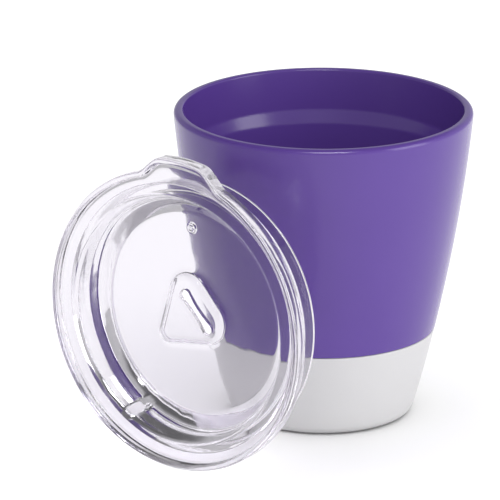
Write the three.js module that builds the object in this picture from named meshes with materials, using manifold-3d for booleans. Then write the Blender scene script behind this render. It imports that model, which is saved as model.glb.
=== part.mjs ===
// A toddler's drinking cup with a press-in lid, in millimetres, +Z up.
// The origin is the centre of the cup's underside. The lid is off: it stands on its rim in
// front of the cup, with its top facing away from the cup.
import * as THREE from "three";
import { mergeVertices } from "three/addons/utils/BufferGeometryUtils.js";
import Module from "manifold-3d";

const wasm = await Module();
wasm.setup();

// Overall form of the cup. The wall swells outwards between foot and mouth.
const CUP_HEIGHT = 88;
const MOUTH_RADIUS = 42;
const FOOT_RADIUS = 25.3;
const SWELL = 0.5;
const FOOT_FILLET = 3.5;

// Inner cup, from the lip down.
const LIP_WALL = 2.75;
const LIP_OUTER_ROUND = 1.4;
const LIP_INNER_ROUND = 0.6;
const SHOULDER_DROP = 13.5;
const SHOULDER_STEP = 1.1;
const SHOULDER_HEIGHT = 3.5;
const SHOULDER_ROUND = 3;
const CUP_FLOOR = 2.6;
const BOWL_FILLET = 9;

// Outer shell round the lower part, flush with the inner cup above it.
const SHELL_HEIGHT = 24.9;
const SHELL_WALL = 2.2;
const SHELL_FLOOR = 2.4;
const SEAM_ROUND = 0.35;
const GAP = 0.3;
const SNAP_HEIGHT = 14;
const SNAP_REACH = 0.6;
const SNAP_WIDTH = 1.6;

// Moulded ring groove under the shell, between a centre pad and the foot.
const FOOT_RING_WIDTH = 4;
const GROOVE_WIDTH = 4.55;
const GROOVE_DEPTH = 0.8;
const GROOVE_ROUND = 0.3;

// Lid, in its own frame: z is 0 where the flange sits on the cup's lip.
const PLUG_CLEARANCE = 1.25;
const PLUG_DEPTH = 11.5;
const PLUG_DRAFT = 0.8;
const PLUG_RIM_WALL = 2.2;
const FLANGE_OVERHANG = 0.4;
const FLANGE_THICK = 2;
const BEAD_HEIGHT = 2.3;
const BEAD_WIDTH = 1.6;
const EDGE_ROUND = 0.8;
const PANEL_THICK = 1.4;
const PANEL_RAISE = 4.2;

// Funnel-shaped well down to the panel, by its distances in from the top of the plug.
const WELL_MOUTH_INSET = 3;
const WELL_KNEE_INSET = 4.8;
const WELL_KNEE_DROP = 1.5;
const WELL_FOOT_INSET = 10;
const WELL_MOUTH_ROUND = 1.8;
const WELL_KNEE_ROUND = 4;
const WELL_FOOT_ROUND = 1.9;

// Drain notch across the plug's lower rim.
const NOTCH_ANGLE = 242;
const NOTCH_WIDTH = 3.4;

// Thumb tab on the flange, given by its half angles at the root and at the flat top.
const TAB_REACH = 3.7;
const TAB_ROOT_ANGLE = 19.5;
const TAB_TOP_ANGLE = 8;

// Boss with the drinking slot, and the vent, on the panel at the bottom of the well.
const BOSS_HEIGHT = 2.4;
const BOSS_EDGE = 1;
const BOSS_WALL = 1.9;
const BOSS_ANGLE = 45;
const BOSS_TIP = { along: -10.6, across: 0.4, radius: 3 };
const BOSS_SHOULDERS = [
  { along: 2.2, across: -4.2, radius: 6.2 },
  { along: 2.2, across: 4.6, radius: 6.2 },
];
const SLOT_ALONG = 2.2;
const SLOT_ACROSS = -0.6;
const SLOT_LENGTH = 14.6;
const SLOT_WIDTH = 2.8;
const SLOT_WAIST = 1.7;
const VENT_INSET = 3.8;
const VENT_ANGLE = 95;
const VENT_HOLE_RADIUS = 0.6;
const VENT_RING_RADIUS = 1.7;
const VENT_RING_HEIGHT = 0.7;
const VENT_STEPS = 20;

// Where the lid stands: how far its plug stays clear of the cup's mouth, sideways offset, turn
// about the vertical, and roll of the tab about the lid's own axis.
const LID_STANDOFF = 9.1;
const LID_SIDESTEP = -1.6;
const LID_TURN = 36.5;
const LID_ROLL = 2.7;

// Fineness of the faceted surfaces.
const TURN_STEPS = 56;
const ARC_STEP = 31;
const WALL_STEPS = 6;

const LID_RADIUS = MOUTH_RADIUS + FLANGE_OVERHANG;
const PLUG_RADIUS = MOUTH_RADIUS - LIP_WALL - PLUG_CLEARANCE;
const WELL_RADIUS = PLUG_RADIUS - WELL_FOOT_INSET;
const CREST = FLANGE_THICK + BEAD_HEIGHT;
const PANEL_UNDERSIDE = PANEL_RAISE - PLUG_DEPTH;
const PANEL_TOP = PANEL_UNDERSIDE + PANEL_THICK;
const CUT_MARGIN = 1;

const radians = THREE.MathUtils.degToRad;

// Outer radius of the cup at a height above the table.
function wallRadius(z) {
  const t = z / CUP_HEIGHT;
  return FOOT_RADIUS + (MOUTH_RADIUS - FOOT_RADIUS) * (t + SWELL * t * (1 - t));
}

// Points of a profile that follows the cup's wall, set in from it, from one height to another.
function alongWall(fromZ, toZ, inset) {
  const points = [];
  for (let i = 0; i <= WALL_STEPS; i += 1) {
    const z = fromZ + ((toZ - fromZ) * i) / WALL_STEPS;
    points.push([wallRadius(z) - inset, z]);
  }
  return points;
}

// Replaces each corner [x, y, round] of an outline by an arc of that radius.
function roundCorners(corners, closed = false) {
  const points = [];
  corners.forEach(([x, y, round = 0], i) => {
    const here = new THREE.Vector2(x, y);
    const last = corners.length - 1;
    if (round === 0 || (!closed && (i === 0 || i === last))) {
      points.push(here);
      return;
    }
    const before = new THREE.Vector2(...corners[i === 0 ? last : i - 1].slice(0, 2));
    const after = new THREE.Vector2(...corners[i === last ? 0 : i + 1].slice(0, 2));
    const inward = before.sub(here).normalize();
    const outward = after.sub(here).normalize();
    const half = Math.acos(THREE.MathUtils.clamp(inward.dot(outward), -1, 1)) / 2;
    const reach = round / Math.tan(half);
    const centre = inward.clone().add(outward).normalize();
    centre.multiplyScalar(round / Math.sin(half)).add(here);
    const side = Math.sign(outward.cross(inward));
    const start = inward.multiplyScalar(reach).add(here).sub(centre);
    const sweep = Math.PI - 2 * half;
    const steps = Math.max(1, Math.ceil(sweep / radians(ARC_STEP)));
    for (let k = 0; k <= steps; k += 1) {
      const turned = start.clone().rotateAround(new THREE.Vector2(), (side * sweep * k) / steps);
      points.push(turned.add(centre));
    }
  });
  return points;
}

// A solid of revolution about Z from corners [radius, z, round].
function turned(corners) {
  const geometry = new THREE.LatheGeometry(roundCorners(corners), TURN_STEPS);
  return geometry.rotateX(Math.PI / 2);
}

function solid(geometry) {
  const bare = geometry.index ? geometry.toNonIndexed() : geometry.clone();
  bare.deleteAttribute("normal");
  bare.deleteAttribute("uv");
  const merged = mergeVertices(bare, 1e-4);
  return new wasm.Manifold(
    new wasm.Mesh({
      numProp: 3,
      vertProperties: merged.attributes.position.array,
      triVerts: new Uint32Array(merged.index.array),
    }),
  );
}

function toGeometry(shape) {
  const mesh = shape.getMesh();
  const geometry = new THREE.BufferGeometry();
  geometry.setAttribute("position", new THREE.BufferAttribute(mesh.vertProperties, 3));
  geometry.setIndex(new THREE.BufferAttribute(mesh.triVerts, 1));
  geometry.computeVertexNormals();
  return geometry;
}

// A prism of an outline between two heights.
function prism(outline, fromZ, toZ) {
  const geometry = new THREE.ExtrudeGeometry(new THREE.Shape(outline), {
    depth: toZ - fromZ,
    bevelEnabled: false,
  });
  return geometry.translate(0, 0, fromZ);
}

// Inner cup: a deep bowl whose lower part is set in to take the outer shell.
function cupBody() {
  const inset = SHELL_WALL + GAP;
  const underside = SHELL_FLOOR + GAP;
  const shoulderZ = CUP_HEIGHT - SHOULDER_DROP;
  const boreZ = shoulderZ + SHOULDER_HEIGHT / 2;
  const bowlZ = shoulderZ - SHOULDER_HEIGHT / 2;
  const bowlWall = LIP_WALL + SHOULDER_STEP;
  const floorTop = underside + CUP_FLOOR;
  const groove = inset + SNAP_REACH;
  const snapTop = SNAP_HEIGHT + SNAP_WIDTH / 2 + GAP;
  const snapBase = SNAP_HEIGHT - SNAP_WIDTH / 2 - GAP;
  return turned([
    [0, underside],
    [wallRadius(underside) - inset, underside, FOOT_FILLET - SHELL_WALL / 2],
    [wallRadius(snapBase) - inset, snapBase],
    [wallRadius(snapBase) - groove, snapBase + SNAP_REACH / 2],
    [wallRadius(snapTop) - groove, snapTop - SNAP_REACH / 2],
    [wallRadius(snapTop) - inset, snapTop],
    [wallRadius(SHELL_HEIGHT) - inset, SHELL_HEIGHT],
    [wallRadius(SHELL_HEIGHT), SHELL_HEIGHT, SEAM_ROUND],
    ...alongWall(SHELL_HEIGHT, CUP_HEIGHT, 0).slice(1, -1),
    [MOUTH_RADIUS, CUP_HEIGHT, LIP_OUTER_ROUND],
    [MOUTH_RADIUS - LIP_WALL, CUP_HEIGHT, LIP_INNER_ROUND],
    [wallRadius(boreZ) - LIP_WALL, boreZ, SHOULDER_ROUND],
    [wallRadius(bowlZ) - bowlWall, bowlZ, SHOULDER_ROUND],
    ...alongWall(bowlZ, floorTop, bowlWall).slice(1, -1),
    [wallRadius(floorTop) - bowlWall, floorTop, BOWL_FILLET],
    [0, floorTop],
  ]);
}

// Outer shell: a shallow bowl round the inner cup's foot, with a ring that snaps into it.
function baseShell() {
  const top = SHELL_HEIGHT - GAP;
  const snapTop = SNAP_HEIGHT + SNAP_WIDTH / 2;
  const snapBase = SNAP_HEIGHT - SNAP_WIDTH / 2;
  const grooveOuter = FOOT_RADIUS - FOOT_FILLET / 2 - FOOT_RING_WIDTH;
  const grooveInner = grooveOuter - GROOVE_WIDTH;
  return turned([
    [0, 0],
    [grooveInner, 0, GROOVE_ROUND],
    [grooveInner + GROOVE_DEPTH, GROOVE_DEPTH, GROOVE_ROUND],
    [grooveOuter - GROOVE_DEPTH, GROOVE_DEPTH, GROOVE_ROUND],
    [grooveOuter, 0, GROOVE_ROUND],
    [FOOT_RADIUS, 0, FOOT_FILLET],
    ...alongWall(0, top, 0).slice(2, -1),
    [wallRadius(top), top, SEAM_ROUND],
    [wallRadius(top) - SHELL_WALL, top],
    [wallRadius(snapTop) - SHELL_WALL, snapTop],
    [wallRadius(snapTop) - SHELL_WALL - SNAP_REACH, snapTop - SNAP_REACH / 2],
    [wallRadius(snapBase) - SHELL_WALL - SNAP_REACH, snapBase + SNAP_REACH / 2],
    [wallRadius(snapBase) - SHELL_WALL, snapBase],
    [wallRadius(SHELL_FLOOR) - SHELL_WALL, SHELL_FLOOR, FOOT_FILLET - SHELL_WALL / 2],
    [0, SHELL_FLOOR],
  ]);
}

// Outline of the flange and its tab, set in from the edge. The tab is at +Y.
function flangeOutline(inset) {
  const outline = [];
  for (let i = 0; i < TURN_STEPS * 2; i += 1) {
    const angle = (i * 180) / TURN_STEPS;
    const off = Math.abs(((angle + 90) % 360) - 180);
    const rise = 1 - THREE.MathUtils.smoothstep(off, TAB_TOP_ANGLE, TAB_ROOT_ANGLE);
    if (rise === 0 && i % 2 === 1) continue;
    const radius = LID_RADIUS + TAB_REACH * rise - inset;
    outline.push(new THREE.Vector2(radius, 0).rotateAround(new THREE.Vector2(), radians(angle)));
  }
  return outline;
}

// Flange with its edges eased, before the well is cut.
function flange() {
  const geometry = new THREE.ExtrudeGeometry(new THREE.Shape(flangeOutline(EDGE_ROUND)), {
    depth: CREST - 2 * EDGE_ROUND,
    bevelThickness: EDGE_ROUND,
    bevelSize: EDGE_ROUND,
    bevelSegments: 2,
  });
  return geometry.translate(0, 0, EDGE_ROUND);
}

function plug() {
  return turned([
    [0, -PLUG_DEPTH],
    [PLUG_RADIUS - PLUG_DRAFT, -PLUG_DEPTH, EDGE_ROUND],
    [PLUG_RADIUS, 0],
    [PLUG_RADIUS, FLANGE_THICK / 2],
    [0, FLANGE_THICK / 2],
  ]);
}

// The space above the panel, wider than the plug above the flange's ledge.
function well() {
  const mouth = PLUG_RADIUS - WELL_MOUTH_INSET;
  return turned([
    [0, PANEL_TOP],
    [WELL_RADIUS, PANEL_TOP, WELL_FOOT_ROUND],
    [PLUG_RADIUS - WELL_KNEE_INSET, -WELL_KNEE_DROP, WELL_KNEE_ROUND],
    [mouth, FLANGE_THICK, WELL_MOUTH_ROUND],
    [mouth + WELL_MOUTH_ROUND * 2, FLANGE_THICK],
    [mouth + WELL_MOUTH_ROUND * 2, CREST + CUT_MARGIN],
    [0, CREST + CUT_MARGIN],
  ]);
}

// The shallow space under the panel, inside the plug's lower rim.
function underRecess() {
  const inner = PLUG_RADIUS - PLUG_DRAFT - PLUG_RIM_WALL;
  return turned([
    [0, -PLUG_DEPTH - CUT_MARGIN],
    [inner, -PLUG_DEPTH - CUT_MARGIN],
    [inner, PANEL_UNDERSIDE, EDGE_ROUND],
    [0, PANEL_UNDERSIDE],
  ]);
}

function drainNotch() {
  const geometry = new THREE.BoxGeometry(PLUG_RADIUS, NOTCH_WIDTH, PANEL_RAISE + CUT_MARGIN);
  geometry.translate(PLUG_RADIUS, 0, -PLUG_DEPTH + (PANEL_RAISE - CUT_MARGIN) / 2);
  return geometry.rotateZ(radians(NOTCH_ANGLE));
}

// Turns points [along, across] of the boss into the lid's frame.
function bossPoint(along, across) {
  return new THREE.Vector2(along, across).rotateAround(new THREE.Vector2(), radians(BOSS_ANGLE));
}

// A closed outline round three circles: one at the tip and two at the shoulders.
function bossOutline(inset) {
  const circles = [BOSS_TIP, ...BOSS_SHOULDERS];
  const outline = [];
  circles.forEach((circle, i) => {
    const before = circles[(i + 2) % 3];
    const after = circles[(i + 1) % 3];
    const from = tangentAngle(before, circle);
    let to = tangentAngle(circle, after);
    if (to < from) to += 2 * Math.PI;
    const steps = Math.ceil((to - from) / radians(ARC_STEP));
    for (let k = 0; k <= steps; k += 1) {
      const angle = from + ((to - from) * k) / steps;
      const radius = circle.radius - inset;
      const along = circle.along + radius * Math.cos(angle);
      const across = circle.across + radius * Math.sin(angle);
      outline.push(bossPoint(along, across));
    }
  });
  return outline;
}

// Direction of the normal where the outer tangent from one circle to the next touches both.
function tangentAngle(first, next) {
  const dx = next.along - first.along;
  const dy = next.across - first.across;
  const lean = Math.acos((first.radius - next.radius) / Math.hypot(dx, dy));
  const angle = Math.atan2(dy, dx) - lean;
  return angle < 0 ? angle + 2 * Math.PI : angle;
}

function boss() {
  const geometry = new THREE.ExtrudeGeometry(new THREE.Shape(bossOutline(BOSS_EDGE)), {
    depth: BOSS_HEIGHT + PANEL_THICK / 2 - BOSS_EDGE,
    bevelThickness: BOSS_EDGE,
    bevelSize: BOSS_EDGE,
    bevelSegments: 3,
  });
  const rootZ = PANEL_TOP - PANEL_THICK / 2;
  const belowRoot = prism(bossOutline(-CUT_MARGIN), rootZ - BOSS_EDGE - CUT_MARGIN, rootZ);
  return solid(geometry.translate(0, 0, rootZ)).subtract(solid(belowRoot));
}

// The hollow under the boss, which keeps its wall even.
function bossHollow() {
  const roof = PANEL_UNDERSIDE + BOSS_HEIGHT;
  return prism(bossOutline(BOSS_WALL), PANEL_UNDERSIDE - CUT_MARGIN, roof);
}

// Slot across the boss, narrower at its middle than at its round ends.
function slotOutline() {
  const outline = [];
  const reach = SLOT_LENGTH / 2 - SLOT_WIDTH / 2;
  const sideSteps = 8;
  const endSteps = 6;
  for (const side of [1, -1]) {
    for (let k = 0; k < sideSteps; k += 1) {
      const t = 1 - (2 * k) / sideSteps;
      const half = (SLOT_WAIST + (SLOT_WIDTH - SLOT_WAIST) * t * t) / 2;
      outline.push(bossPoint(SLOT_ALONG - side * half, SLOT_ACROSS - side * t * reach));
    }
    for (let k = 0; k < endSteps; k += 1) {
      const angle = (Math.PI * k) / endSteps;
      const along = -side * (SLOT_WIDTH / 2) * Math.cos(angle);
      const across = side * (reach + (SLOT_WIDTH / 2) * Math.sin(angle));
      outline.push(bossPoint(SLOT_ALONG + along, SLOT_ACROSS + across));
    }
  }
  return outline.reverse();
}

function slot() {
  const top = PANEL_TOP + BOSS_HEIGHT;
  return prism(slotOutline(), PANEL_UNDERSIDE - CUT_MARGIN, top + CUT_MARGIN);
}

function vent(radius, fromZ, toZ) {
  const geometry = new THREE.CylinderGeometry(radius, radius, toZ - fromZ, VENT_STEPS);
  geometry.rotateX(Math.PI / 2);
  geometry.translate(WELL_RADIUS - VENT_INSET, 0, (fromZ + toZ) / 2);
  return geometry.rotateZ(radians(VENT_ANGLE));
}

// Lid: flange and plug joined, then hollowed above and below the panel.
function lid() {
  const pocket = prism(flangeOutline(BEAD_WIDTH), FLANGE_THICK, CREST + CUT_MARGIN);
  const ventTop = PANEL_TOP + VENT_RING_HEIGHT;
  const ventRing = vent(VENT_RING_RADIUS, PANEL_TOP - PANEL_THICK / 2, ventTop);
  const ventHole = vent(VENT_HOLE_RADIUS, PANEL_UNDERSIDE - CUT_MARGIN, ventTop + CUT_MARGIN);
  const shape = solid(flange())
    .add(solid(plug()))
    .subtract(solid(pocket))
    .subtract(solid(well()))
    .subtract(solid(underRecess()))
    .subtract(solid(drainNotch()))
    .add(boss())
    .subtract(solid(bossHollow()))
    .add(solid(ventRing))
    .subtract(solid(slot()))
    .subtract(solid(ventHole));
  return toGeometry(shape);
}

function material(color, roughness) {
  return new THREE.MeshStandardMaterial({ color, roughness, metalness: 0 });
}

function clearMaterial() {
  const clear = material(0xe6e6ee, 0.05);
  clear.transparent = true;
  clear.opacity = 0.35;
  return clear;
}

function named(name, geometry, look) {
  const mesh = new THREE.Mesh(geometry, look);
  mesh.name = name;
  return mesh;
}

// Stands the lid on its rim: its own +Z turns to face away from the cup, its tab upwards.
function standingLid() {
  const turn = radians(LID_TURN);
  const facing = new THREE.Vector3(-Math.sin(turn), -Math.cos(turn), 0);
  const sideways = new THREE.Vector3(Math.cos(turn), -Math.sin(turn), 0);
  const up = new THREE.Vector3(0, 0, 1);
  const group = new THREE.Group();
  group.quaternion.setFromRotationMatrix(new THREE.Matrix4().makeBasis(sideways, up, facing));
  group.position.copy(facing).multiplyScalar(MOUTH_RADIUS + LID_STANDOFF + PLUG_DEPTH);
  group.position.addScaledVector(sideways, LID_SIDESTEP).addScaledVector(up, LID_RADIUS);
  const mesh = named("lid", lid(), clearMaterial());
  mesh.rotation.z = radians(-LID_ROLL);
  group.add(mesh);
  return group;
}

const cup = new THREE.Group();
cup.add(named("cup_body", cupBody(), material(0x6a54a0, 0.3)));
cup.add(named("base_shell", baseShell(), material(0xe0e0e4, 0.35)));
cup.add(standingLid());

export default cup;
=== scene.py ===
# %% [markdown]
# # A toddler's drinking cup and its clear lid
# The object is three mouldings: an opaque purple cup, a white shell pressed round its foot,
# and a clear lid that has been taken off and stands on its rim. This file makes the surfaces
# that are looked at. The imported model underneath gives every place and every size, so the
# first thing to do is to load it and to note the box that it fills.

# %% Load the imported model
import math

import bmesh
import bpy
import numpy as np
from mathutils import Matrix, Vector


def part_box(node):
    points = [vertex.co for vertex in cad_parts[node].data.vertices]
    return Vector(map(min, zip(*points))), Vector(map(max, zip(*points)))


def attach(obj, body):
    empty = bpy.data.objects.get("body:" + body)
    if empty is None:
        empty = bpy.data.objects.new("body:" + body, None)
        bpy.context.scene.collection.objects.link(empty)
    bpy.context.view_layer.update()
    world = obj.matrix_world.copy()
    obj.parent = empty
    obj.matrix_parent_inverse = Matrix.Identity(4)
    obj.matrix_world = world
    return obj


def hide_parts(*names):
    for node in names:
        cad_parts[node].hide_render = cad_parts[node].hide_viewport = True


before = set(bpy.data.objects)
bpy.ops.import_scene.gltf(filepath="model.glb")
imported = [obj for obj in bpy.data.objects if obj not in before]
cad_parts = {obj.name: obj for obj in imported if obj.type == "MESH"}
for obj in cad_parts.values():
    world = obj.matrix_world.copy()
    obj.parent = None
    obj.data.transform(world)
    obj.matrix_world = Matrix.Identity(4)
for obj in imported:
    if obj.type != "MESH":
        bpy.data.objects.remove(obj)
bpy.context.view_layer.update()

# %% [markdown]
# ## Sizes
# Blender works in metres and a moulder works in millimetres, so lengths are written as a
# number times `MM`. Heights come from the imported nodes' boxes. What a box can't tell, such as
# the swell of the wall or the round of a lip, is a named value here.

# %% Sizes of the cup
MM = 0.001
CUP_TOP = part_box("cup_body")[1].z
CUP_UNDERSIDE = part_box("cup_body")[0].z
SHELL_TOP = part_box("base_shell")[1].z

MOUTH_RADIUS = 42 * MM
FOOT_RADIUS = 25.3 * MM
SWELL = 0.5
LIP_WALL = 2.75 * MM
SHELL_WALL = 2.2 * MM
print(f"cup {CUP_TOP / MM:.1f} mm tall, shell {SHELL_TOP / MM:.1f} mm")


def wall_radius(z):
    """Outer radius of the cup at a height: a cone that swells between foot and mouth."""
    t = z / CUP_TOP
    return FOOT_RADIUS + (MOUTH_RADIUS - FOOT_RADIUS) * (t + SWELL * t * (1 - t))


# %% [markdown]
# ## Camera
# A small product is usually taken from far away with a long lens, which keeps its sides
# nearly parallel. The camera is set by its place, its pitch below the horizon, a little yaw
# and roll, and a lens long enough to fill the frame.

# %% Camera
SENSOR = 36.0
LENS = 432.0
CAMERA_PITCH = math.radians(17.75)
CAMERA_YAW = math.radians(0.73)
CAMERA_ROLL = math.radians(0.08)
CAMERA_PLACE = Vector((0.0, -1605.2 * MM, 560.1 * MM))


def aim_camera():
    data = bpy.data.cameras.new("camera")
    data.lens = LENS
    data.sensor_width = SENSOR
    data.clip_start = 0.05
    camera = bpy.data.objects.new("camera", data)
    bpy.context.scene.collection.objects.link(camera)
    tilt = Matrix.Rotation(math.pi / 2 - CAMERA_PITCH, 4, "X")
    turn = Matrix.Rotation(CAMERA_YAW, 4, "Z")
    roll = Matrix.Rotation(CAMERA_ROLL, 4, "Z")
    camera.matrix_world = Matrix.Translation(CAMERA_PLACE) @ turn @ tilt @ roll
    bpy.context.scene.camera = camera
    return camera


camera = aim_camera()
print("camera at", [round(c, 3) for c in camera.matrix_world.translation])

# %% [markdown]
# ## Stage and light
# White plastic and clear plastic need opposite things from a studio. The opaque cup wants
# broad soft light. The clear lid has no colour of its own: it shows only what is around it,
# so it needs some darker places for its edges to pick up. The room is a little paler to the
# right and dims overhead. A key box in front and a taller box at the right light the pieces,
# a weak box overhead fills in, and one wide box lights the floor alone.

# %% Floor
FLOOR_SIZE = 6.0
FLOOR_PALENESS = 0.93
FLOOR_ROUGHNESS = 0.9
FLOOR_SPECULAR = 0.1


def pale_floor():
    half = FLOOR_SIZE / 2
    mesh = bpy.data.meshes.new("floor")
    corners = [(-half, -half, 0), (half, -half, 0), (half, half, 0), (-half, half, 0)]
    mesh.from_pydata(corners, [], [(0, 1, 2, 3)])
    floor = bpy.data.objects.new("floor", mesh)
    bpy.context.scene.collection.objects.link(floor)
    finish = bpy.data.materials.new("pale floor")
    finish.use_nodes = True
    shader = finish.node_tree.nodes["Principled BSDF"]
    shader.inputs["Base Color"].default_value = (*[FLOOR_PALENESS] * 3, 1)
    shader.inputs["Roughness"].default_value = FLOOR_ROUGHNESS
    shader.inputs["Specular IOR Level"].default_value = FLOOR_SPECULAR
    mesh.materials.append(finish)
    return floor


floor = pale_floor()
print("floor", FLOOR_SIZE, "m across")

# %% Room and soft boxes
ROOM_LEFT = 0.72
ROOM_RIGHT = 0.88
ROOM_ABOVE = 0.25
ROOM_SIDE_SPAN = 0.7
ROOM_DIM_FROM = 0.35
ROOM_DIM_TO = 0.7
LIGHT_BOUNCES = 24

# Each box has a name, a place and a size in metres, and a power in watts.
SOFT_BOXES = (
    ("key box", (0.06, -0.6, 0.84), (0.4, 0.3), 4.2),
    ("overhead box", (0.1, 0.35, 0.95), (0.9, 0.6), 0.2),
    ("right box", (0.9, -0.35, 0.35), (0.5, 0.8), 4.2),
)
BOX_AIM = (0, 0, 0.05)
FLOOR_BOX_PLACE = (0, 0.2, 1.6)
FLOOR_BOX_AIM = (0, 0.2, 0)
FLOOR_BOX_SIZE = (3, 3)
FLOOR_BOX_POWER = 58


def direction_fade(world, axis, low, high, start, end):
    """A factor that eases from start to end as the direction's axis goes from low to high."""
    nodes, links = world.node_tree.nodes, world.node_tree.links
    place = nodes.new("ShaderNodeTexCoord")
    split = nodes.new("ShaderNodeSeparateXYZ")
    links.new(place.outputs["Generated"], split.inputs[0])
    fade = nodes.new("ShaderNodeMapRange")
    fade.interpolation_type = "SMOOTHSTEP"
    for name, value in zip(("From Min", "From Max", "To Min", "To Max"), (low, high, start, end)):
        fade.inputs[name].default_value = value
    links.new(split.outputs[axis], fade.inputs["Value"])
    return fade.outputs[0]


def studio_room():
    """World light: paler to the right than to the left, and dimmer overhead."""
    world = bpy.data.worlds.new("studio")
    world.use_nodes = True
    bpy.context.scene.world = world
    nodes, links = world.node_tree.nodes, world.node_tree.links
    nodes.clear()
    across = direction_fade(world, "X", -ROOM_SIDE_SPAN, ROOM_SIDE_SPAN, ROOM_LEFT, ROOM_RIGHT)
    upwards = direction_fade(world, "Z", ROOM_DIM_FROM, ROOM_DIM_TO, 1, ROOM_ABOVE)
    both = nodes.new("ShaderNodeMath")
    both.operation = "MULTIPLY"
    links.new(across, both.inputs[0])
    links.new(upwards, both.inputs[1])
    back = nodes.new("ShaderNodeBackground")
    links.new(both.outputs[0], back.inputs["Strength"])
    out = nodes.new("ShaderNodeOutputWorld")
    links.new(back.outputs[0], out.inputs["Surface"])


def soft_box(name, place, aim, size, power):
    data = bpy.data.lights.new(name, "AREA")
    data.shape = "RECTANGLE"
    data.size, data.size_y = size
    data.energy = power
    lamp = bpy.data.objects.new(name, data)
    bpy.context.scene.collection.objects.link(lamp)
    facing = (Vector(aim) - Vector(place)).to_track_quat("-Z", "Y")
    lamp.matrix_world = Matrix.Translation(place) @ facing.to_matrix().to_4x4()
    return lamp


def light_for(lamp, target, state):
    """Lets a lamp light only the target (INCLUDE), or everything but the target (EXCLUDE)."""
    receivers = bpy.data.collections.new(lamp.name + " receivers")
    receivers.objects.link(target)
    receivers.collection_objects[0].light_linking.link_state = state
    lamp.light_linking.receiver_collection = receivers


studio_room()
for name, place, size, power in SOFT_BOXES:
    light_for(soft_box(name, place, BOX_AIM, size, power), floor, "EXCLUDE")
floor_box = soft_box("floor box", FLOOR_BOX_PLACE, FLOOR_BOX_AIM, FLOOR_BOX_SIZE, FLOOR_BOX_POWER)
light_for(floor_box, floor, "INCLUDE")
floor_box.light_linking.blocker_collection = bpy.data.collections.new("floor box blockers")
scene = bpy.context.scene
scene.view_settings.view_transform = "Standard"
scene.cycles.max_bounces = LIGHT_BOUNCES
scene.cycles.glossy_bounces = LIGHT_BOUNCES
scene.cycles.transmission_bounces = LIGHT_BOUNCES
print("room and four soft boxes, light followed for", LIGHT_BOUNCES, "bounces")

# %% [markdown]
# ## A shared finish: moulded plastic close up
# Moulded plastic is never quite smooth or even. The mould leaves a very fine ripple, and the
# gloss drifts a little from place to place. One shader node group makes both, and each
# material sets its own amounts. A group is built once and used like any other node.

# %% Node group for a moulded surface


def moulded_surface_group():
    group = bpy.data.node_groups.new("moulded surface", "ShaderNodeTree")
    face = group.interface
    for name, value in (
        ("Gloss Base", 0.3),
        ("Gloss Drift", 0.05),
        ("Drift Scale", 60.0),
        ("Ripple Scale", 900.0),
        ("Ripple Height", 0.00002),
    ):
        socket = face.new_socket(name, in_out="INPUT", socket_type="NodeSocketFloat")
        socket.default_value = value
    face.new_socket("Roughness", in_out="OUTPUT", socket_type="NodeSocketFloat")
    face.new_socket("Drift", in_out="OUTPUT", socket_type="NodeSocketFloat")
    face.new_socket("Normal", in_out="OUTPUT", socket_type="NodeSocketVector")
    nodes, links = group.nodes, group.links
    given = nodes.new("NodeGroupInput")
    result = nodes.new("NodeGroupOutput")
    place = nodes.new("ShaderNodeTexCoord")

    drift = nodes.new("ShaderNodeTexNoise")
    drift.inputs["Detail"].default_value = 4.0
    links.new(place.outputs["Object"], drift.inputs["Vector"])
    links.new(given.outputs["Drift Scale"], drift.inputs["Scale"])
    centred = nodes.new("ShaderNodeMath")
    centred.operation = "SUBTRACT"
    centred.inputs[1].default_value = 0.5
    links.new(drift.outputs["Fac"], centred.inputs[0])
    rough = nodes.new("ShaderNodeMath")
    rough.operation = "MULTIPLY_ADD"
    links.new(centred.outputs[0], rough.inputs[0])
    links.new(given.outputs["Gloss Drift"], rough.inputs[1])
    links.new(given.outputs["Gloss Base"], rough.inputs[2])
    links.new(rough.outputs[0], result.inputs["Roughness"])
    links.new(drift.outputs["Fac"], result.inputs["Drift"])

    ripple = nodes.new("ShaderNodeTexNoise")
    ripple.inputs["Detail"].default_value = 2.0
    links.new(place.outputs["Object"], ripple.inputs["Vector"])
    links.new(given.outputs["Ripple Scale"], ripple.inputs["Scale"])
    bump = nodes.new("ShaderNodeBump")
    bump.inputs["Strength"].default_value = 1.0
    links.new(given.outputs["Ripple Height"], bump.inputs["Distance"])
    links.new(ripple.outputs["Fac"], bump.inputs["Height"])
    links.new(bump.outputs["Normal"], result.inputs["Normal"])
    return group


moulded_surface = moulded_surface_group()
print("group inputs:", [s.name for s in moulded_surface.interface.items_tree if s.in_out == "INPUT"])

# %% [markdown]
# ## Three plastics
# The purple and the white are the same kind of plastic with different pigment: opaque, with a
# satin gloss. Pigment never mixes perfectly, so the colour moves a little between two close
# tones. The lid is clear, which in a shader is full transmission with the refractive index of
# the plastic. Its colour is a pale grey with a trace of lavender. This is painted shade: it dims
# the bright floor seen through the lid to the grey of a dimmer backdrop.

# %% Opaque plastics


def place_finish(material, **amounts):
    """Adds the shared group to a material with the amounts given, and wires its gloss."""
    nodes, links = material.node_tree.nodes, material.node_tree.links
    finish = nodes.new("ShaderNodeGroup")
    finish.node_tree = moulded_surface
    for name, value in amounts.items():
        finish.inputs[name.replace("_", " ")].default_value = value
    shader = nodes["Principled BSDF"]
    links.new(finish.outputs["Roughness"], shader.inputs["Roughness"])
    links.new(finish.outputs["Normal"], shader.inputs["Normal"])
    return finish, shader


def opaque_plastic(name, low, high, **amounts):
    material = bpy.data.materials.new(name)
    material.use_nodes = True
    finish, shader = place_finish(material, **amounts)
    nodes, links = material.node_tree.nodes, material.node_tree.links
    pigment = nodes.new("ShaderNodeMix")
    pigment.data_type = "RGBA"
    pigment.inputs["A"].default_value = (*low, 1)
    pigment.inputs["B"].default_value = (*high, 1)
    links.new(finish.outputs["Drift"], pigment.inputs["Factor"])
    links.new(pigment.outputs["Result"], shader.inputs["Base Color"])
    shader.inputs["IOR"].default_value = 1.5
    return material


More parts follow.
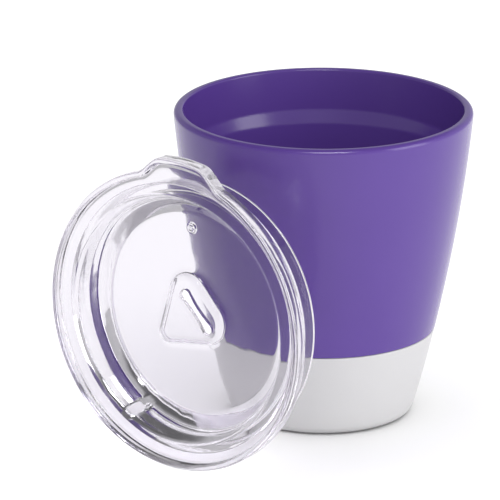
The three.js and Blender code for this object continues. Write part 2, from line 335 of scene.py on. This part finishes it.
purple = opaque_plastic(
    "purple plastic", (0.096, 0.044, 0.278), (0.106, 0.050, 0.298),
    Gloss_Base=0.22, Gloss_Drift=0.06, Drift_Scale=55.0, Ripple_Scale=700.0, Ripple_Height=1.2e-5,
)
white = opaque_plastic(
    "white plastic", (0.60, 0.595, 0.605), (0.63, 0.625, 0.635),
    Gloss_Base=0.36, Gloss_Drift=0.06, Drift_Scale=55.0, Ripple_Scale=700.0, Ripple_Height=1.2e-5,
)
print("made", purple.name, "and", white.name)

# %% Clear plastic
CLEAR_INDEX = 1.57


def clear_plastic():
    material = bpy.data.materials.new("clear plastic")
    material.use_nodes = True
    _, shader = place_finish(
        material, Gloss_Base=0.05, Gloss_Drift=0.02, Drift_Scale=90.0,
        Ripple_Scale=75.0, Ripple_Height=2.5e-4,
    )
    # Pale grey colour: painted shade that dims the bright floor seen through the lid to a backdrop's
    # grey.
    shader.inputs["Base Color"].default_value = (0.76, 0.74, 0.79, 1)
    shader.inputs["Transmission Weight"].default_value = 1.0
    shader.inputs["IOR"].default_value = CLEAR_INDEX
    shader.inputs["Specular Tint"].default_value = (0.4, 0.4, 0.4, 1)
    return material


clear = clear_plastic()
print("made", clear.name)

# %% [markdown]
# ## Turned shapes
# The cup and its shell are solids of revolution: a wall's outline, spun about the upright
# axis. The outline is drawn once as a few corners, each with the radius that eases it. A
# Geometry Nodes tree then does the spinning: it lays a flat grid with a row for each point of
# the outline, and moves every grid point to its outline point turned by the column's angle.

# %% Easing the corners of an outline
ARC_STEP = math.radians(6)


def eased(corners):
    """Outline points from corners (x, y, round), each corner replaced by an arc."""
    points = []
    for i, corner in enumerate(corners):
        here = np.array(corner[:2], float)
        easing = corner[2] if len(corner) > 2 else 0
        if not easing or i in (0, len(corners) - 1):
            points.append(here)
            continue
        back = np.array(corners[i - 1][:2], float) - here
        ahead = np.array(corners[i + 1][:2], float) - here
        back /= np.linalg.norm(back)
        ahead /= np.linalg.norm(ahead)
        half = math.acos(np.clip(back @ ahead, -1, 1)) / 2
        middle = (back + ahead) / np.linalg.norm(back + ahead)
        centre = here + middle * easing / math.sin(half)
        start = here + back * easing / math.tan(half) - centre
        side = np.sign(back[1] * ahead[0] - back[0] * ahead[1])
        sweep = math.pi - 2 * half
        steps = max(2, math.ceil(sweep / ARC_STEP))
        for k in range(steps + 1):
            angle = side * sweep * k / steps
            c, s = math.cos(angle), math.sin(angle)
            points.append(centre + (start[0] * c - start[1] * s, start[0] * s + start[1] * c))
    return points


def along_wall(low, high, inset, steps=24):
    """Corners that follow the cup's wall, set in from it."""
    heights = np.linspace(low, high, steps + 1)
    return [(wall_radius(z) - inset, z) for z in heights]


print("a square corner eased:", len(eased([(0, 0), (1, 0, 0.2), (1, 1)])), "points")

# %% A Geometry Nodes lathe
WELD_DISTANCE = 1e-7


def maths(tree, operation, first, second):
    node = tree.nodes.new("ShaderNodeMath")
    node.operation = operation
    for socket, value in zip(node.inputs, (first, second)):
        if isinstance(value, (int, float)):
            socket.default_value = value
        else:
            tree.links.new(value, socket)
    return node.outputs[0]


def lathe_tree():
    tree = bpy.data.node_groups.new("turn on a lathe", "GeometryNodeTree")
    face = tree.interface
    face.new_socket("Outline", in_out="INPUT", socket_type="NodeSocketGeometry")
    face.new_socket("Steps", in_out="INPUT", socket_type="NodeSocketInt")
    face.new_socket("Material", in_out="INPUT", socket_type="NodeSocketMaterial")
    face.new_socket("Solid", in_out="OUTPUT", socket_type="NodeSocketGeometry")
    nodes, links = tree.nodes, tree.links
    given = nodes.new("NodeGroupInput")
    result = nodes.new("NodeGroupOutput")
    count = nodes.new("GeometryNodeAttributeDomainSize")
    links.new(given.outputs["Outline"], count.inputs["Geometry"])
    columns = maths(tree, "ADD", given.outputs["Steps"], 1)

    grid = nodes.new("GeometryNodeMeshGrid")
    links.new(count.outputs["Point Count"], grid.inputs["Vertices X"])
    links.new(columns, grid.inputs["Vertices Y"])
    index = nodes.new("GeometryNodeInputIndex").outputs[0]
    row = maths(tree, "FLOOR", maths(tree, "DIVIDE", maths(tree, "ADD", index, 0.5), columns), 0)
    column = maths(tree, "SUBTRACT", index, maths(tree, "MULTIPLY", row, columns))
    share = maths(tree, "DIVIDE", column, given.outputs["Steps"])
    angle = maths(tree, "MULTIPLY", share, 2 * math.pi)

    sample = nodes.new("GeometryNodeSampleIndex")
    sample.data_type = "FLOAT_VECTOR"
    links.new(given.outputs["Outline"], sample.inputs["Geometry"])
    links.new(nodes.new("GeometryNodeInputPosition").outputs[0], sample.inputs["Value"])
    links.new(row, sample.inputs["Index"])
    turn = nodes.new("ShaderNodeVectorRotate")
    turn.rotation_type = "Z_AXIS"
    links.new(sample.outputs[0], turn.inputs["Vector"])
    links.new(angle, turn.inputs["Angle"])
    place = nodes.new("GeometryNodeSetPosition")
    links.new(grid.outputs["Mesh"], place.inputs["Geometry"])
    links.new(turn.outputs["Vector"], place.inputs["Position"])

    outwards = nodes.new("GeometryNodeFlipFaces")
    links.new(place.outputs["Geometry"], outwards.inputs["Mesh"])
    weld = nodes.new("GeometryNodeMergeByDistance")
    weld.inputs["Distance"].default_value = WELD_DISTANCE
    links.new(outwards.outputs["Mesh"], weld.inputs["Geometry"])
    smooth = nodes.new("GeometryNodeSetShadeSmooth")
    links.new(weld.outputs["Geometry"], smooth.inputs["Geometry"])
    whole = nodes.new("GeometryNodeRealizeInstances")
    links.new(smooth.outputs["Geometry"], whole.inputs["Geometry"])
    look = nodes.new("GeometryNodeSetMaterial")
    links.new(whole.outputs["Geometry"], look.inputs["Geometry"])
    links.new(given.outputs["Material"], look.inputs["Material"])
    links.new(look.outputs["Geometry"], result.inputs["Solid"])
    return tree


lathe = lathe_tree()
print("lathe tree has", len(lathe.nodes), "nodes")

# %% Spinning an outline into a piece
TURN_STEPS = 256


def add_object(name, mesh):
    thing = bpy.data.objects.new(name, mesh)
    bpy.context.scene.collection.objects.link(thing)
    return thing


def volume(mesh):
    """Signed volume of a closed mesh: above zero when its faces point outwards."""
    mesh.calc_loop_triangles()
    corners = np.array([mesh.vertices[v].co for t in mesh.loop_triangles for v in t.vertices])
    a, b, c = corners.reshape(-1, 3, 3).transpose(1, 0, 2)
    return float((a * np.cross(b, c)).sum() / 6)


def turned(name, outline, material):
    """A plain mesh of the outline [(radius, z), ...] turned by the lathe tree."""
    draft = bpy.data.meshes.new(name + " outline")
    draft.from_pydata([(r, 0, z) for r, z in outline], [], [])
    blank = add_object(name + " blank", draft)
    spin = blank.modifiers.new("lathe", "NODES")
    spin.node_group = lathe
    for socket in lathe.interface.items_tree:
        if socket.name == "Steps":
            spin[socket.identifier] = TURN_STEPS
        if socket.name == "Material":
            spin[socket.identifier] = material
    graph = bpy.context.evaluated_depsgraph_get()
    mesh = bpy.data.meshes.new_from_object(blank.evaluated_get(graph))
    bpy.data.objects.remove(blank)
    mesh.name = name
    print(f"{name}: {len(mesh.polygons)} faces, {volume(mesh) * 1e6:.1f} ml of plastic")
    return add_object(name, mesh)


# %% [markdown]
# ## The purple cup
# From the lip down: a rounded lip, a straight bore that the lid's plug slides into, a soft
# shoulder where the wall thickens, then a plain bowl. Outside, the wall is set in near the
# foot to take the white shell, so that the two meet flush. The lathe makes it in one go.

# %% Cup body
LIP_OUTER_ROUND = 1.4 * MM
LIP_INNER_ROUND = 0.65 * MM
SHOULDER_DROP = 13.5 * MM
SHOULDER_STEP = 1.1 * MM
SHOULDER_HEIGHT = 3.5 * MM
SHOULDER_ROUND = 4 * MM
CUP_FLOOR = 2.6 * MM
BOWL_FILLET = 9 * MM
SEAM = 24.9 * MM
SEAM_ROUND = 0.3 * MM
SEAM_GAP = 0.12 * MM
FOOT_FILLET = 3.5 * MM
SHELL_CLEARANCE = 0.3 * MM


def cup_outline():
    """The cup's section. A slice leaves out the wall points that a fillet replaces."""
    inset = SHELL_WALL + SHELL_CLEARANCE
    shoulder = CUP_TOP - SHOULDER_DROP
    bore = shoulder + SHOULDER_HEIGHT / 2
    bowl = shoulder - SHOULDER_HEIGHT / 2
    bowl_wall = LIP_WALL + SHOULDER_STEP
    floor_top = CUP_UNDERSIDE + CUP_FLOOR
    return eased([
        (0, CUP_UNDERSIDE),
        (wall_radius(CUP_UNDERSIDE) - inset, CUP_UNDERSIDE, FOOT_FILLET - SHELL_WALL / 2),
        *along_wall(CUP_UNDERSIDE, SEAM, inset)[4:],
        (wall_radius(SEAM), SEAM, SEAM_ROUND),
        *along_wall(SEAM, CUP_TOP, 0)[1:-1],
        (MOUTH_RADIUS, CUP_TOP, LIP_OUTER_ROUND),
        (MOUTH_RADIUS - LIP_WALL, CUP_TOP, LIP_INNER_ROUND),
        (wall_radius(bore) - LIP_WALL, bore, SHOULDER_ROUND),
        (wall_radius(bowl) - bowl_wall, bowl, SHOULDER_ROUND),
        *along_wall(bowl, floor_top, bowl_wall)[2:-3],
        (wall_radius(floor_top) - bowl_wall, floor_top, BOWL_FILLET),
        (0, floor_top),
    ])


cup_body = turned("purple_cup", cup_outline(), purple)

# %% [markdown]
# ## The white shell
# A shallow bowl round the cup's foot, with a fine seam above it, an eased corner below, and a
# ring groove moulded into the underside between a centre pad and the foot.

# %% Base shell
SHELL_FLOOR = 2.4 * MM
PAD_RADIUS = 15 * MM
FOOT_RING_WIDTH = 4 * MM
UNDERSIDE_GROOVE = 0.8 * MM
GROOVE_ROUND = 0.3 * MM


def shell_outline():
    top = SEAM - SEAM_GAP
    ring_edge = FOOT_RADIUS - FOOT_FILLET / 2 - FOOT_RING_WIDTH
    return eased([
        (0, 0),
        (PAD_RADIUS, 0, GROOVE_ROUND),
        (PAD_RADIUS + UNDERSIDE_GROOVE, UNDERSIDE_GROOVE, GROOVE_ROUND),
        (ring_edge - UNDERSIDE_GROOVE, UNDERSIDE_GROOVE, GROOVE_ROUND),
        (ring_edge, 0, GROOVE_ROUND),
        (FOOT_RADIUS, 0, FOOT_FILLET),
        *along_wall(0, top, 0)[5:-1],
        (wall_radius(top), top, SEAM_ROUND),
        (wall_radius(top) - SHELL_WALL, top),
        *along_wall(top, SHELL_FLOOR, SHELL_WALL)[1:-3],
        (wall_radius(SHELL_FLOOR) - SHELL_WALL, SHELL_FLOOR, FOOT_FILLET - SHELL_WALL / 2),
        (0, SHELL_FLOOR),
    ])


base_shell = turned("white_shell", shell_outline(), white)

# %% [markdown]
# ## The clear lid
# A clear piece is judged by what it bends, so its surface has to be one continuous skin with
# well-spaced points and no stray edges inside it. The skin is built from closed loops: it
# starts at the drinking slot, runs out over the boss, up the well, round the beaded edge,
# down the plug, and back under the panel to the slot. Each loop has the same number of
# points, so neighbouring loops join as a band of four-sided faces.

# %% Sizes of the lid, in its own frame: z is 0 where its flange sits on the cup's lip
LID_RADIUS = 42.4 * MM
CREST = 4.3 * MM
BEAD_WIDTH = 1.6 * MM
BEAD_ROUND = 0.85 * MM
BEAD_INNER_ROUND = 0.7 * MM
BEAD_LEAN = 0.4 * MM
BEAD_FOOT_ROUND = 1.4 * MM
FLANGE_THICK = 2 * MM
PLUG_RADIUS = 38 * MM
PLUG_DEPTH = 11.5 * MM
PLUG_DRAFT = 0.8 * MM
PANEL_RADIUS = 28.6 * MM
PANEL_TOP = -5.9 * MM
PANEL_THICK = 1.4 * MM
PANEL_UNDERSIDE = PANEL_TOP - PANEL_THICK
WELL_FOOT_ROUND = 1.9 * MM
WELL_KNEE = 33.2 * MM
WELL_KNEE_DROP = 1.5 * MM
WELL_KNEE_ROUND = 4 * MM
WELL_MOUTH = 35 * MM
WELL_MOUTH_ROUND = 1.5 * MM
RIM_WALL = 2.2 * MM
RIM_INNER = PLUG_RADIUS - PLUG_DRAFT - RIM_WALL
RIM_ROUND = 0.85 * MM
RIM_INNER_ROUND = 0.5 * MM
EDGE_ROUND = 0.4 * MM
SMALL_ROUND = 0.35 * MM
VENT_DISTANCE = 24.2 * MM

TAB_REACH = 3.7 * MM
TAB_START = 0.2 * MM
TAB_ROOT_ANGLE = math.radians(19.5)
TAB_TOP_ANGLE = math.radians(8)

LOOP_POINTS = 512
angles = np.arange(LOOP_POINTS) / LOOP_POINTS * 2 * math.pi


def tab_rise():
    """How far each angle belongs to the tab, from 0 to 1. The tab is at +Y."""
    off = np.abs((angles + math.pi / 2) % (2 * math.pi) - math.pi)
    t = np.clip((TAB_ROOT_ANGLE - off) / (TAB_ROOT_ANGLE - TAB_TOP_ANGLE), 0, 1)
    return t * t * (3 - 2 * t)


def ring(radius, z, reach=0.0):
    """A round loop, pushed out over the tab by a share of the tab's reach."""
    out = radius + reach * TAB_REACH * tab_rise()
    return np.stack([out * np.cos(angles), out * np.sin(angles), np.full(LOOP_POINTS, z)], -1)


print("a lid loop has", len(ring(LID_RADIUS, 0)), "points")

# %% [markdown]
# ### Boss and slot
# The boss is a soft three-cornered pad: the outline round three circles. The slot across it
# is narrower in the middle than at its ends. Both outlines are closed curves, and the loops
# between them are blended from one to the other over the flat top of the boss.

# %% Outlines of the boss and the slot
BOSS_HEIGHT = 2.4 * MM
BOSS_ANGLE = math.radians(45)
BOSS_CIRCLES = np.array([(-10.6, 0.4, 3.0), (2.2, -4.2, 6.2), (2.2, 4.6, 6.2)]) * MM
SLOT_CENTRE = np.array([2.2, -0.6]) * MM
SLOT_LENGTH = 14.0 * MM
SLOT_WIDTH = 2.8 * MM
SLOT_WAIST = 1.7 * MM
BOSS_RAYS = 1440
SLOT_STEPS = 40


def spread(outline):
    """A closed outline resampled to the loop's number of evenly spaced points."""
    closed = np.vstack([outline, outline[:1]])
    lengths = np.r_[0, np.cumsum(np.linalg.norm(np.diff(closed, axis=0), axis=1))]
    marks = np.arange(LOOP_POINTS) / LOOP_POINTS * lengths[-1]
    return np.stack([np.interp(marks, lengths, closed[:, k]) for k in (0, 1)], -1)


def start_ahead(outline, centre):
    """Turns the order of the points so that the first lies straight ahead of the centre."""
    bearing = np.arctan2(outline[:, 1] - centre[1], outline[:, 0] - centre[0])
    return np.roll(outline, -int(np.argmin(np.abs(bearing))), axis=0)


def boss_outline(grow=0.0):
    """The outline round the three circles, grown outwards by an amount."""
    points = []
    for bearing in np.linspace(0, 2 * math.pi, BOSS_RAYS + 1)[:-1]:
        ray = np.array([math.cos(bearing), math.sin(bearing)])
        reach = (BOSS_CIRCLES[:, :2] @ ray) + BOSS_CIRCLES[:, 2] + grow
        x, y, radius = BOSS_CIRCLES[int(np.argmax(reach))]
        points.append((x, y) + ray * (radius + grow))
    return start_ahead(spread(np.array(points)), (0, 0))


def slot_outline(grow=0.0):
    """The waisted slot: half widths swell from the waist to the round ends."""
    reach = (SLOT_LENGTH - SLOT_WIDTH) / 2
    points = []
    for side in (1, -1):
        for t in np.linspace(-1, 1, SLOT_STEPS)[:-1]:
            half = (SLOT_WAIST + (SLOT_WIDTH - SLOT_WAIST) * t * t) / 2 + grow
            points.append((side * half, side * t * reach))
        for turn in np.linspace(0, math.pi, SLOT_STEPS)[:-1]:
            radius = SLOT_WIDTH / 2 + grow
            points.append((side * radius * math.cos(turn), side * (reach + radius * math.sin(turn))))
    return start_ahead(spread(np.array(points)), (0, 0)) + SLOT_CENTRE


def on_boss(outline, z):
    """Lays an outline of the boss in the lid's frame at a height."""
    c, s = math.cos(BOSS_ANGLE), math.sin(BOSS_ANGLE)
    x, y = outline[:, 0] * c - outline[:, 1] * s, outline[:, 0] * s + outline[:, 1] * c
    return np.stack([x, y, np.full(len(x), z)], -1)


print(f"boss {np.ptp(boss_outline()[:, 0]) / MM:.1f} mm long, slot {SLOT_LENGTH / MM:.1f} mm")

# %% [markdown]
# ### Vent and drain notch
# The vent is a pinhole inside a small raised ring. A hole in a woven skin needs a place where
# the threads go round it, so a square patch of the panel is combed into rings about the vent.
# The drain notch is simpler: part of the plug's lower rim is lifted nearly to the panel.

# %% Combing a patch of the panel into rings
VENT_ANGLE = math.radians(95)
VENT_CELLS = 9
VENT_HOLE_CELLS = 2
VENT_RADII = np.array([0, 0.3, 0.6, 0.72, 0.95, 1.2, 1.42, 1.6, 1.85, 2.7]) * MM
VENT_RISE = np.array([0, 0, 0.3, 0.5, 0.66, 0.7, 0.45, 0.0, 0.0, 0]) * MM
NOTCH_ANGLE = math.radians(242)
NOTCH_WIDTH = 3.4 * MM
NOTCH_LEFT = 0.05
VENT_COLUMN = round((VENT_ANGLE - BOSS_ANGLE) / (2 * math.pi) * LOOP_POINTS)


def comb(loops, first_row, rise):
    """Turns the square patch of rows and columns about the vent into rings about it."""
    middle = loops[first_row + VENT_CELLS][VENT_COLUMN, :2].copy()
    for i in range(-VENT_CELLS, VENT_CELLS + 1):
        for j in range(-VENT_CELLS, VENT_CELLS + 1):
            level = max(abs(i), abs(j))
            if level == VENT_CELLS:
                continue
            point = loops[first_row + VENT_CELLS + i][VENT_COLUMN + j]
            away = point[:2] - middle
            length = np.linalg.norm(away)
            if length:
                point[:2] = middle + away / length * VENT_RADII[level]
            point[2] += rise[level]


def vent_hole_cells(first_row):
    """Rows and columns of the faces that the pinhole removes."""
    centre = first_row + VENT_CELLS
    span = range(-VENT_HOLE_CELLS, VENT_HOLE_CELLS)
    return {(centre + i, VENT_COLUMN + j) for i in span for j in span}


def vent_hole_edge(first_row):
    """Rows and columns of the points round the pinhole, in order."""
    centre = first_row + VENT_CELLS
    n = VENT_HOLE_CELLS
    side = range(-n, n)
    edge = [(centre - n, VENT_COLUMN + k) for k in side]
    edge += [(centre + k, VENT_COLUMN + n) for k in side]
    edge += [(centre + n, VENT_COLUMN - k) for k in side]
    edge += [(centre - k, VENT_COLUMN - n) for k in side]
    return edge


print("vent at column", VENT_COLUMN, "with", VENT_HOLE_CELLS * 8, "points round its hole")

# %% Loops of the boss, from the slot's wall to the panel
SLOT_EDGE = 0.65 * MM
BOSS_WALL = 0.4 * MM
BOSS_TOP_EASE = 1.7 * MM
BOSS_FOOT_EASE = 2.2 * MM
INNER_RING = 18.5 * MM
EDGE_STEPS = 4
EASE_STEPS = 8
FLAT_SHARES = (0.1, 0.35, 0.6, 0.85, 0.97, 1)
PANEL_SHARES = (0.03, 0.2, 0.5, 0.8, 1)
BOSS_COLUMN = round(BOSS_ANGLE / (2 * math.pi) * LOOP_POINTS)


def quarter(steps):
    return [math.pi / 2 * k / steps for k in range(steps + 1)]


def blend_loops(first, last, shares):
    return [first + (last - first) * share for share in shares]


def panel_ring(radius, z, reach=0.0):
    """A round loop whose first point lies in the boss's forward direction."""
    return np.roll(ring(radius, z, reach), -BOSS_COLUMN, axis=0)


def boss_loops(level, wall, side):
    """From the slot's edge over the boss to a ring at the panel's level. A wall of 0 and a
    side of 1 make the upper surface, and a wall's thickness and -1 the hollow under it."""
    top = level + BOSS_HEIGHT
    loops = []
    for turn in quarter(EDGE_STEPS):
        grow = SLOT_EDGE * (1 - math.cos(turn))
        loops.append(on_boss(slot_outline(grow), top - side * SLOT_EDGE * (1 - math.sin(turn))))
    flat = on_boss(boss_outline(-BOSS_TOP_EASE - wall), top)
    loops += blend_loops(loops[-1], flat, FLAT_SHARES)
    drop = BOSS_HEIGHT / 2
    for turn in quarter(EASE_STEPS)[1:]:
        grow = -BOSS_TOP_EASE * (1 - math.sin(turn)) - wall
        loops.append(on_boss(boss_outline(grow), top - drop * (1 - math.cos(turn))))
    for turn in quarter(EASE_STEPS)[1:]:
        grow = BOSS_FOOT_EASE * (1 - math.cos(turn)) - wall
        loops.append(on_boss(boss_outline(grow), top - drop - drop * math.sin(turn)))
    loops += blend_loops(loops[-1], panel_ring(INNER_RING, level), PANEL_SHARES)
    return loops


over_boss = boss_loops(PANEL_TOP, 0, 1)
under_boss = boss_loops(PANEL_UNDERSIDE, BOSS_WALL, -1)[::-1]
print(len(over_boss), "loops over the boss,", len(under_boss), "under it")

# %% Loops of the rim, from the panel round the section and back


def section_loops():
    corners = [
        (VENT_DISTANCE + VENT_RADII[-1], PANEL_TOP),
        (PANEL_RADIUS, PANEL_TOP, WELL_FOOT_ROUND),
        (WELL_KNEE, -WELL_KNEE_DROP, WELL_KNEE_ROUND),
        (WELL_MOUTH, FLANGE_THICK, WELL_MOUTH_ROUND),
        (LID_RADIUS - BEAD_WIDTH - BEAD_LEAN, FLANGE_THICK, BEAD_FOOT_ROUND),
        (LID_RADIUS - BEAD_WIDTH, CREST, BEAD_INNER_ROUND),
        (LID_RADIUS, CREST, BEAD_ROUND),
        (LID_RADIUS, 0, EDGE_ROUND),
        (PLUG_RADIUS, 0, SMALL_ROUND),
        (PLUG_RADIUS - PLUG_DRAFT, -PLUG_DEPTH, RIM_ROUND),
        (RIM_INNER, -PLUG_DEPTH, RIM_INNER_ROUND),
        (RIM_INNER, PANEL_UNDERSIDE, SMALL_ROUND),
        (VENT_DISTANCE + VENT_RADII[-1], PANEL_UNDERSIDE),
    ]
    return [notched(panel_ring(r, z, tab_share(r)), z) for r, z in eased(corners)]


def tab_share(radius):
    """Loops inside the bead stay round, and those at the edge follow the tab."""
    inner = PLUG_RADIUS + TAB_START
    outer = LID_RADIUS - BEAD_WIDTH
    return float(np.clip((radius - inner) / (outer - inner), 0, 1))


def notched(loop, z):
    """Lifts the part of a rim loop that crosses the drain notch nearly up to the panel."""
    if z >= PANEL_UNDERSIDE:
        return loop
    middle = np.array([math.cos(NOTCH_ANGLE), math.sin(NOTCH_ANGLE)])
    along = loop[:, :2] @ middle
    across = loop[:, :2] @ np.array([-middle[1], middle[0]])
    inside = (along > 0) & (np.abs(across) < NOTCH_WIDTH / 2)
    loop[inside, 2] = PANEL_UNDERSIDE + (z - PANEL_UNDERSIDE) * NOTCH_LEFT
    return loop


def vent_rows(z, outwards):
    offsets = np.linspace(-VENT_RADII[-1], VENT_RADII[-1], 2 * VENT_CELLS + 1)
    rows = [panel_ring(VENT_DISTANCE + offset, z) for offset in offsets]
    return rows if outwards else rows[::-1]


top_patch = len(over_boss)
loops = over_boss + vent_rows(PANEL_TOP, True) + section_loops()[1:-1]
under_patch = len(loops)
loops += vent_rows(PANEL_UNDERSIDE, False) + under_boss
comb(loops, top_patch, VENT_RISE)
comb(loops, under_patch, np.zeros(VENT_CELLS + 1))
print(len(loops), "loops of", LOOP_POINTS, "points")

# %% Skinning the loops


def woven_faces(rows, holes):
    """Four-sided faces between neighbouring loops, the last joined to the first."""
    faces = []
    for row in range(rows):
        for column in range(LOOP_POINTS):
            if (row, column) in holes:
                continue
            below, beside = (row + 1) % rows, (column + 1) % LOOP_POINTS
            corners = ((row, column), (below, column), (below, beside), (row, beside))
            faces.append([r * LOOP_POINTS + c for r, c in corners])
    return faces


def pinhole_faces():
    """The wall of the vent, from the edge above to the matching edge below."""
    above = vent_hole_edge(top_patch)
    middle_above, middle_below = top_patch + VENT_CELLS, under_patch + VENT_CELLS
    below = [(middle_below - (row - middle_above), column) for row, column in above]
    faces = []
    for k in range(len(above)):
        after = (k + 1) % len(above)
        corners = (above[k], below[k], below[after], above[after])
        faces.append([r * LOOP_POINTS + c for r, c in corners])
    return faces


def skin(name, loops, material):
    holes = vent_hole_cells(top_patch) | vent_hole_cells(under_patch)
    faces = woven_faces(len(loops), holes) + pinhole_faces()
    draft = bmesh.new()
    points = [draft.verts.new(p) for p in np.concatenate(loops)]
    for face in faces:
        draft.faces.new([points[i] for i in face])
    unused = [v for v in draft.verts if not v.link_faces]
    bmesh.ops.delete(draft, geom=unused, context="VERTS")
    loose = sum(not edge.is_contiguous for edge in draft.edges)
    mesh = bpy.data.meshes.new(name)
    draft.to_mesh(mesh)
    draft.free()
    mesh.materials.append(material)
    mesh.shade_smooth()
    plastic = volume(mesh) * 1e6
    print(f"{name}: {len(faces)} faces, {loose} open edges, {plastic:.1f} ml of plastic")
    return add_object(name, mesh)


clear_lid = skin("clear_lid", loops, clear)

# %% [markdown]
# ### Standing the lid on its rim
# The lid was drawn flat, as it sits on the cup. Its points are now turned so that its top
# faces away from the cup and its tab points up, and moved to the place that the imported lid
# has. The place goes into the mesh, so the object itself stays at the origin.

# %% Placing the lid
LID_DISTANCE = 62.6 * MM
LID_SIDESTEP = -1.6 * MM
LID_TURN = math.radians(36.5)
LID_ROLL = math.radians(2.7)


def lid_place():
    facing = Vector((-math.sin(LID_TURN), -math.cos(LID_TURN), 0))
    sideways = Vector((math.cos(LID_TURN), -math.sin(LID_TURN), 0))
    up = Vector((0, 0, 1))
    basis = Matrix((sideways, up, facing)).transposed().to_4x4()
    centre = facing * LID_DISTANCE + sideways * LID_SIDESTEP + up * LID_RADIUS
    return Matrix.Translation(centre) @ basis @ Matrix.Rotation(-LID_ROLL, 4, "Z")


clear_lid.data.transform(lid_place())
# A clear piece would cast far too dark a shadow here, so the lid casts none.
clear_lid.visible_shadow = False
made = [clear_lid.matrix_world @ Vector(c) for c in clear_lid.bound_box]
print("lid top at", round(max(p.z for p in made) / MM, 1), "mm")

# %% [markdown]
# ## Handing the pieces over
# Each piece now takes the place of its imported node and rides on that node's body, so the lid
# lifts with its joint and the cup stays.

# %% Ride and replace
for piece, body, node, finish in (
    (cup_body, "cup", "cup_body", "purple_plastic"),
    (base_shell, "cup", "base_shell", "white_plastic"),
    (clear_lid, "lid", "lid", "clear_plastic"),
):
    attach(piece, body)
    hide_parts(node)
